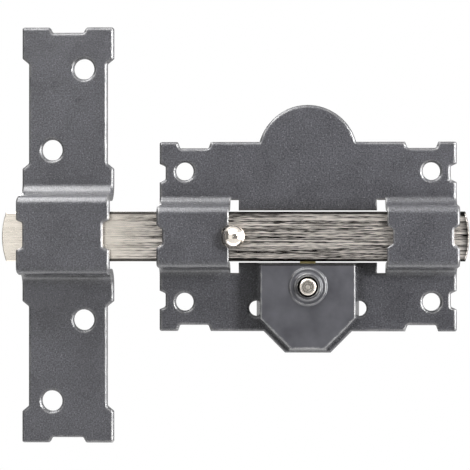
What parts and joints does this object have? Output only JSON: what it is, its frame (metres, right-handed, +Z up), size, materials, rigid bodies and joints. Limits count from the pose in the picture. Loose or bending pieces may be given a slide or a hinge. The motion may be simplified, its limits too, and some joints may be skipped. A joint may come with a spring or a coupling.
{
  "type": "pushbutton lock",
  "caption": "Surface-mounted sliding bolt lock: pressed plate with bridges over a flat plated bolt, pull knob, pushbutton in a cover, and the bridged strike plate the bolt is thrown into",
  "frame": {"origin": "middle of the lock plate's four screw holes, on the plane of the door that both plates lie on", "axes": "+X along the bolt, away from the strike; +Y into the door, the viewer of the picture is on the -Y side; +Z up"},
  "size_m": [0.155, 0.0184, 0.1404],
  "materials": {
    "enamelled_sheet": "fine-grained graphite enamel on pressed steel",
    "enamelled_casting": "smooth satin graphite enamel",
    "screw_steel": "zinc-plated steel",
    "plated_bar": "nickel-plated, linished lengthwise",
    "polished_plate": "polished nickel plate",
    "cam_brass": "plain brass",
    "spring_steel": "drawn spring wire"
  },
  "bodies": {
    "lock": {"lock_plate": "enamelled_sheet", "strike_plate": "enamelled_sheet", "mechanism_cover": "enamelled_casting", "cover_screw_left": "screw_steel", "cover_screw_right": "screw_steel", "button_spring": "spring_steel"},
    "bolt": {"bolt": "plated_bar", "bolt_knob": "polished_plate"},
    "button": {"push_button": "polished_plate"},
    "cam": {"drive_cam": "cam_brass"}
  },
  "joints": [
    {"name": "bolt_slide", "type": "slide", "parent": "lock", "child": "bolt", "axis": [1, 0, 0], "range_m": [0, 0.0484]},
    {"name": "button_press", "type": "slide", "parent": "lock", "child": "button", "axis": [0, 1, 0], "range_m": [0, 0.0026], "stiffness_N_per_m": 800, "springref_m": -0.003, "deforming": ["button_spring"]},
    {"name": "key_turn", "type": "hinge", "parent": "button", "child": "cam", "pos_m": [0, 0, -0.0165], "axis": [0, 1, 0], "range_deg": [0, 360]}
  ],
  "couplings": [
    {"joint": "key_turn", "follows": "bolt_slide", "rad_per_m": 129.8}
  ]
}
